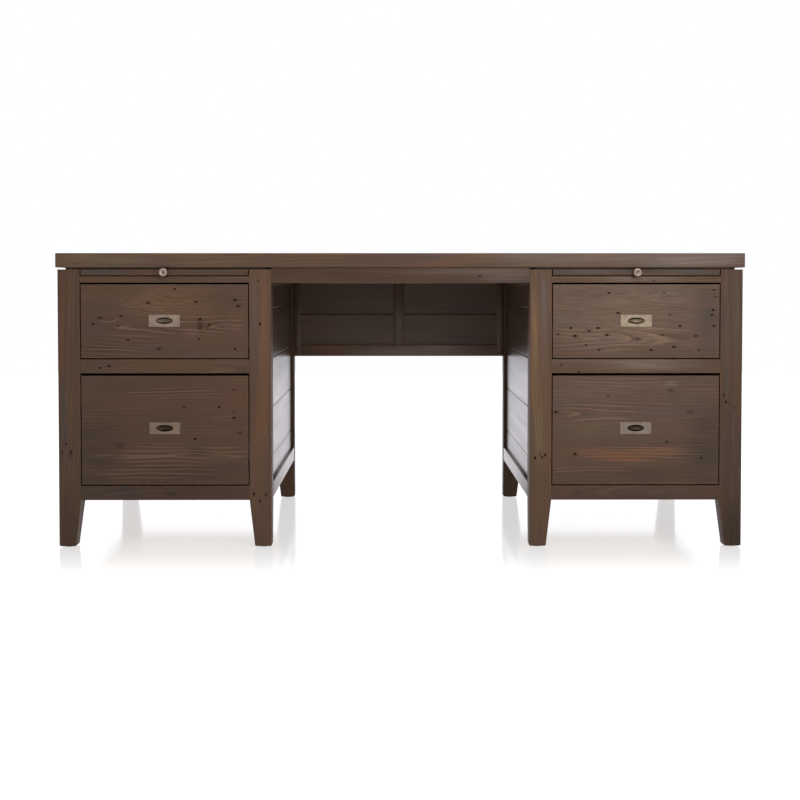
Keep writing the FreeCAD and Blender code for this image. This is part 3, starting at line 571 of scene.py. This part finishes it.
# Writing trays
# A flat board of stained pine slides out over each pedestal, on runners in grooves in its edges. Its grain
# runs along the desk, so the front edge shows long lines.
tray_stains = {
    "left_tray_board": [((105, 271), (34, 5), "#453e42", 0.8), ((200, 271), (40, 5), "#4d4239", 0.6)],
    "right_tray_board": [((590, 271), (50, 5), "#5b4d42", 0.6), ((690, 271), (40, 5), "#4d4643", 0.7)],
}
tray_tones = {"left_tray_board": [0.4], "right_tray_board": [0.12]}
for node, pixel_stains in tray_stains.items():
    tray = timber(node)
    tray.data.materials.append(reclaimed_pine(node, stains=spots_on_front(pixel_stains)))
    lay_grain(tray, ALONG_X, tones=tray_tones[node])
    seat(tray, node)

# Drawer fronts
# Each front is one wide old board, screwed to its drawer box and let in flush between the rails. It keeps
# nail holes, knots and streaks of its own, and shows where in the log it was sawn. A wide grey stain over
# each right front is painted sheen of the lamp at the right.
front_nails = {
    "left_upper_drawer_front": [
        (175, 289), (148, 303), (196, 302), (235, 300), (238, 306), (100, 318), (93, 324), (118, 326),
        (121, 316), (200, 319), (200, 328), (209, 325), (128, 340), (199, 339), (159, 349), (235, 349)],
    "left_lower_drawer_front": [
        (234, 390), (184, 407), (219, 407), (234, 412), (234, 418), (240, 433), (195, 439)],
    "right_upper_drawer_front": [
        (609, 293), (664, 293), (714, 290), (716, 297), (713, 310), (712, 315), (618, 313), (670, 315),
        (571, 328), (598, 328), (589, 331), (558, 334), (575, 336), (607, 335), (638, 339), (662, 335),
        (696, 336), (680, 326), (714, 326), (586, 345), (599, 350), (651, 350), (674, 347), (699, 350)],
    "right_lower_drawer_front": [(608, 396), (556, 412), (667, 442), (575, 454), (701, 458)],
}
# Spots where the rings show clearest, in the photograph's pixels
front_figure = {
    "left_upper_drawer_front": [
        ((205, 324), (38, 14)), ((140, 331), (48, 8)), ((110, 319), (10, 7)), ((236, 323), (10, 9)),
        ((115, 349), (36, 6))],
    "left_lower_drawer_front": [
        ((165, 457), (56, 16)), ((220, 452), (40, 8)), ((150, 473), (60, 9)), ((222, 418), (14, 5)),
        ((175, 394), (60, 8))],
    "right_upper_drawer_front": [((655, 335), (48, 12)), ((580, 333), (40, 10)), ((600, 345), (60, 7))],
    "right_lower_drawer_front": [
        ((600, 412), (44, 12)), ((640, 452), (76, 10)), ((590, 470), (50, 6)), ((620, 382), (60, 8))],
}
front_stains = {
    "left_upper_drawer_front": [
        ((165, 300), (60, 18), "#70513a", 0.7), ((176, 302), (30, 6), "#6a4532", 0.5),
        ((190, 331), (10, 9), "#66453f", 0.6), ((92, 322), (18, 26), "#43372f", 0.6),
        ((98, 350), (34, 14), "#36291f", 0.7), ((235, 325), (14, 20), "#5f4136", 0.5)],
    "left_lower_drawer_front": [
        ((165, 430), (130, 80), "#4c321e", 0.4), ((205, 396), (50, 12), "#543c2e", 0.5),
        ((234, 398), (12, 18), "#5e3a2c", 0.6), ((98, 448), (36, 46), "#31251b", 0.75),
        ((180, 458), (70, 12), "#573e2e", 0.5), ((120, 446), (12, 7), "#4a2c22", 0.6),
        ((160, 476), (110, 16), "#2f2118", 0.75), ((198, 452), (14, 10), "#2f241c", 0.6)],
    "right_upper_drawer_front": [
        # The first stain, grey over the whole front, is painted sheen of the lamp at the right.
        ((640, 315), (130, 60), "#685a51", 0.4), ((630, 303), (60, 22), "#665241", 0.6),
        ((709, 322), (20, 44), "#3a3029", 0.8), ((620, 330), (70, 18), "#74614f", 0.35),
        ((695, 340), (30, 8), "#5a443b", 0.5), ((640, 335), (30, 8), "#6b5039", 0.5)],
    "right_lower_drawer_front": [
        # The first stain, grey over the whole front, is painted sheen of the lamp at the right.
        ((640, 400), (130, 50), "#5d5049", 0.4), ((600, 390), (60, 16), "#5f483b", 0.6),
        ((600, 452), (44, 6), "#714733", 0.7), ((655, 450), (44, 6), "#744a36", 0.7),
        ((625, 457), (40, 4), "#7a4630", 0.6), ((590, 425), (40, 14), "#574a35", 0.5),
        ((708, 446), (30, 56), "#2f2622", 0.85), ((671, 384), (8, 5), "#6b6253", 0.6),
        ((640, 476), (100, 14), "#38291f", 0.65), ((685, 402), (30, 18), "#4a3d33", 0.6)],
}
front_knots = {
    "left_upper_drawer_front": [((200, 323), (5, 7))],
    "left_lower_drawer_front": [((120, 447), (8, 5))],
    "right_upper_drawer_front": [],
    "right_lower_drawer_front": [((671, 390), (6, 4)), ((690, 412), (7, 4)), ((575, 454), (5, 3))],
}
front_rust_half_mm = (15, 6)
# Where the log's heart lies from each front's middle: aside, below, and its lean along the board
front_hearts = {
    "left_upper_drawer_front": (-12 * mm, 24 * mm, -0.09),
    "left_lower_drawer_front": (-70 * mm, 12 * mm, 0.03),
    "right_upper_drawer_front": (-45 * mm, 26 * mm, 0.07),
    "right_lower_drawer_front": (40 * mm, 20 * mm, 0.04),
}
front_tones = {"left_upper_drawer_front": [0.5], "left_lower_drawer_front": [0.35],
               "right_upper_drawer_front": [0.65], "right_lower_drawer_front": [0.48]}
for node, pixels in front_nails.items():
    board = timber(node)
    nails = [seen_at(pixel, front_plane) for pixel in pixels]
    board.data.materials.append(reclaimed_pine(
        node, figure=spots_on_front(front_figure[node]), stains=spots_on_front(front_stains[node]),
        knots=spots_on_front(front_knots[node]), nails=nails, rust_half_mm=front_rust_half_mm))
    nail_holes(board, nails)
    lay_grain(board, ALONG_X, tones=front_tones[node], heart=front_hearts[node])
    seat(board, node)

# Drawer boxes
# Sides and ends are clear pine, dovetailed at the corners and lacquered, so they are golden with a soft
# shine. The bottom is birch plywood, sanded and left bare: paler, plainer and matt.
clear = {"wood": "#cba877", "deep": "#bd9562", "warm": "#c8986b", "cool": "#c4ac85", "line": "#a5754a",
         "knot": "#7c4f2e", "line_share": 0.55, "early_share": 0, "figure_least": 0.4, "figure_most": 1}
clear_pine = pine("clear lacquered pine", clear, roughness=0.42)
birch = {"wood": "#d6bb90", "deep": "#c9ab7f", "warm": "#d3b086", "cool": "#cdb694", "line": "#c29e70",
         "knot": "#9a7448", "line_share": 0.35, "early_share": 0, "figure_least": 0.3, "figure_most": 1}
birch_plywood = pine("sanded birch plywood", birch, roughness=0.55)
drawers = [side + "_" + level for side in ("left", "right") for level in ("upper", "lower")]
for drawer in drawers:
    for name, along, wood, slot in (("_drawer_sides", ALONG_Y, clear_pine, "clear_pine"),
                                    ("_drawer_ends", ALONG_X, clear_pine, "clear_pine"),
                                    ("_drawer_bottom", ALONG_Y, birch_plywood, "birch_plywood")):
        box = timber(drawer + name)
        box.data.materials.append(wood)
        lay_grain(box, along)
        seat(box, drawer + name)

# Pulls and knobs
# Flush pulls are pressed from brass sheet, and the tray knobs are turned from bar. Both are aged: rubbed
# bright on the faces that fingers reach, dark in the dish and the turned neck.
pull_rub_mm, knob_rub_mm = 0.6, 0.2
pull_dark, knob_dark = "#32271b", "#4a3b30"
knob_bright, knob_dull, knob_dark_share = "#9c897e", "#857469", 0.85
# Bright and dull colour of each plate, and how dark its dish has become. The lower plates are darker and
# their dishes darker still: painted shade, as less light falls low on the desk.
pull_colours_and_shade = {"left_upper": ("#8b7a6b", "#7a6b5d", 0.7), "left_lower": ("#706252", "#635648", 0.95),
              "right_upper": ("#867a67", "#766a59", 0.52), "right_lower": ("#766a5e", "#685c51", 0.95)}


def aged_brass(name, bright, dull, dark, dark_from, dark_share):
    # Satin metal, mottled by patina, that darkens behind the plane where fingers no longer rub it
    mottle_mm, fade_mm = 14, 2.5
    rubbed_roughness, dull_roughness = 0.28, 0.5
    material, tree, shader = start_material(name)
    place = add(tree, "TexCoord", {}).outputs["Object"]
    mottle = add(tree, "TexNoise", {"Vector": place, "Scale": 1 / (mottle_mm * mm), "Detail": 3})
    share = add(tree, "MapRange", {"Value": mottle.outputs["Fac"], "From Min": 0.35, "From Max": 0.65})
    colour = add(tree, "Mix", {0: share.outputs[0], 6: linear(bright), 7: linear(dull)}, data_type="RGBA")
    depth = add(tree, "SeparateXYZ", {0: place})
    sunk = add(tree, "MapRange", {"Value": depth.outputs["Y"], "From Min": dark_from,
                                  "From Max": dark_from + fade_mm * mm, "To Max": dark_share},
               interpolation_type="SMOOTHSTEP")
    colour = add(tree, "Mix", {0: sunk.outputs[0], 6: colour.outputs[2], 7: linear(dark)}, data_type="RGBA")
    tree.links.new(colour.outputs[2], shader.inputs["Base Color"])
    rough = add(tree, "MapRange", {"Value": mottle.outputs["Fac"], "To Min": rubbed_roughness,
                                   "To Max": dull_roughness})
    tree.links.new(rough.outputs[0], shader.inputs["Roughness"])
    shader.inputs["Metallic"].default_value = 1
    return material


def coat(node, material):
    # Gives a solid its finish and leaves its shape as it is
    solid = frame["nodes"][node]
    solid.data.materials.clear()
    solid.data.materials.append(material)


for drawer, (bright, dull, dark_share) in pull_colours_and_shade.items():
    node = drawer + "_drawer_pull"
    coat(node, aged_brass("aged brass of " + drawer.replace("_", " ") + " pull", bright, dull, pull_dark,
                          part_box(node)[0].y + pull_rub_mm * mm, dark_share))
for side in ("left", "right"):
    node = side + "_tray_knob"
    coat(node, aged_brass("aged brass of " + side + " knob", knob_bright, knob_dull, knob_dark,
                          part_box(node)[0].y + knob_rub_mm * mm, knob_dark_share))

# Slides, bolts and file rails
# Slides and file rails are roll-formed from steel strip and screwed to the wood, and bolts hold the top
# down. All have a bright zinc plate: cool grey, with faint lines along the strip.
line_width_mm, line_length_mm = 1.2, 60
zinc, tree, shader = start_material("zinc plated steel")
place = add(tree, "TexCoord", {}).outputs["Object"]
line_scale = (1 / (line_width_mm * mm), 1 / (line_length_mm * mm), 1 / (line_width_mm * mm))
drawn_out = add(tree, "Mapping", {"Vector": place, "Scale": line_scale})
lines = add(tree, "TexNoise", {"Vector": drawn_out.outputs[0], "Scale": 1, "Detail": 3})
tint = add(tree, "Mix", {0: lines.outputs["Fac"], 6: linear("#a9acb0"), 7: linear("#c3c5c6")},
           data_type="RGBA")
tree.links.new(tint.outputs[2], shader.inputs["Base Color"])
rough = add(tree, "MapRange", {"Value": lines.outputs["Fac"], "To Min": 0.24, "To Max": 0.42})
tree.links.new(rough.outputs[0], shader.inputs["Roughness"])
shader.inputs["Metallic"].default_value = 1
for node in ["cabinet_slides", "top_bolts", "left_lower_file_rails", "right_lower_file_rails"] + [
        drawer + name for drawer in drawers for name in ("_drawer_slides", "_middle_slides")]:
    coat(node, zinc)

# Foot glides
# A moulded disc of natural nylon is fixed under each foot, so that the desk slides on a floor. It is pale,
# matt and slightly scuffed.
scuff_mm = 4
nylon, tree, shader = start_material("moulded nylon")
place = add(tree, "TexCoord", {}).outputs["Object"]
scuff = add(tree, "TexNoise", {"Vector": place, "Scale": 1 / (scuff_mm * mm), "Detail": 4})
tint = add(tree, "Mix", {0: scuff.outputs["Fac"], 6: linear("#d8d4ca"), 7: linear("#c2bdb2")},
           data_type="RGBA")
tree.links.new(tint.outputs[2], shader.inputs["Base Color"])
rough = add(tree, "MapRange", {"Value": scuff.outputs["Fac"], "To Min": 0.5, "To Max": 0.75})
tree.links.new(rough.outputs[0], shader.inputs["Roughness"])
coat("foot_glides", nylon)

# Studio
# White room: a white, slightly glossy floor that mirrors the feet softly and glows less round the desk, a
# painted shadow; a large soft light overhead in front and a smaller one at the right. To the lens and in
# reflections, where they are a little cool, floor and room are as bright as paper; as light on the desk
# they count for less.
floor_size_m = 14
floor_shadow_white = 0.6
floor_far_white = 0.7
floor_front_white = 1.0
painted_shadow_reach_m = 0.6
floor_bounce = 0.5
room_light = 0.7
cool_white = (0.96, 0.94, 1.0, 1)


def studio_white(tree, light_share):
    # The white's tint and its strength: full where it is seen, and a share of that as light on the desk
    rays = add(tree, "LightPath", {})
    seen = add(tree, "Math", {0: rays.outputs["Is Camera Ray"], 1: rays.outputs["Is Glossy Ray"]},
               operation="MAXIMUM")
    seen = add(tree, "Math", {0: seen.outputs[0], 1: rays.outputs["Is Transmission Ray"]},
               operation="MAXIMUM")
    tint = add(tree, "Mix", {0: rays.outputs["Is Glossy Ray"], 6: (1, 1, 1, 1), 7: cool_white},
               data_type="RGBA")
    strength = add(tree, "MapRange", {"Value": seen.outputs[0], "To Min": light_share, "To Max": 1})
    return tint.outputs[2], strength.outputs[0]


bpy.ops.mesh.primitive_plane_add(size=floor_size_m, location=(0, 0, 0))
floor = bpy.context.object
floor.name = "floor"
paper, tree, shader = start_material("white studio floor")
shader.inputs["Base Color"].default_value = linear("#9a9a9a")
shader.inputs["Roughness"].default_value = 0.12
place = add(tree, "TexCoord", {}).outputs["Object"]
depth = add(tree, "SeparateXYZ", {0: place})
# Painted shadow: the floor's glow drops near the desk, from full white in front and a little less far off.
shadow_fade_in_front = add(tree, "MapRange", {"Value": depth.outputs["Y"], "From Min": front_plane - painted_shadow_reach_m,
                                  "From Max": front_plane, "To Min": floor_front_white,
                                  "To Max": floor_shadow_white}, interpolation_type="SMOOTHSTEP")
beside = add(tree, "VectorMath", {0: place}, operation="ABSOLUTE")
under_desk = (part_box("right_posts")[1].x, -front_plane, 0)
beyond = add(tree, "VectorMath", {0: beside.outputs[0], 1: under_desk}, operation="SUBTRACT")
beyond = add(tree, "VectorMath", {0: beyond.outputs[0], 1: (0, 0, 0)}, operation="MAXIMUM")
away = add(tree, "VectorMath", {0: beyond.outputs[0]}, operation="LENGTH")
painted_shadow_round_desk = add(tree, "MapRange", {"Value": away.outputs["Value"], "From Max": painted_shadow_reach_m,
                                "To Min": floor_shadow_white, "To Max": floor_far_white},
             interpolation_type="SMOOTHSTEP")
white = add(tree, "Math", {0: shadow_fade_in_front.outputs[0], 1: painted_shadow_round_desk.outputs[0]}, operation="MAXIMUM")
tint, strength = studio_white(tree, floor_bounce)
lift = add(tree, "Math", {0: strength, 1: white.outputs[0]}, operation="MULTIPLY")
tree.links.new(tint, shader.inputs["Emission Color"])
tree.links.new(lift.outputs[0], shader.inputs["Emission Strength"])
floor.data.materials.append(paper)

world = bpy.data.worlds.new("white studio")
bpy.context.scene.world = world
world.use_nodes = True
tint, strength = studio_white(world.node_tree, room_light)
background = world.node_tree.nodes["Background"]
world.node_tree.links.new(tint, background.inputs["Color"])
world.node_tree.links.new(strength, background.inputs["Strength"])

# Place of each lamp, the point it is turned to, its size in metres and its watts
lamps = {"overhead soft box": ((0.35, -1.9, 1.95), (0.25, -0.45, 0.5), (1.5, 1.0), 13),
         "side soft box": ((0.84, -2.3, 1.09), (0.5, -0.45, 0.6), (1.2, 0.5), 10)}
for name, (location, target, size, watts) in lamps.items():
    bpy.ops.object.light_add(type="AREA", location=location)
    lamp = bpy.context.object
    lamp.name = name
    lamp.data.shape = "RECTANGLE"
    lamp.data.size, lamp.data.size_y = size
    lamp.data.energy = watts
    lamp.rotation_euler = (Vector(target) - lamp.location).to_track_quat("-Z", "Y").to_euler()

bpy.context.scene.view_settings.view_transform = "Standard"
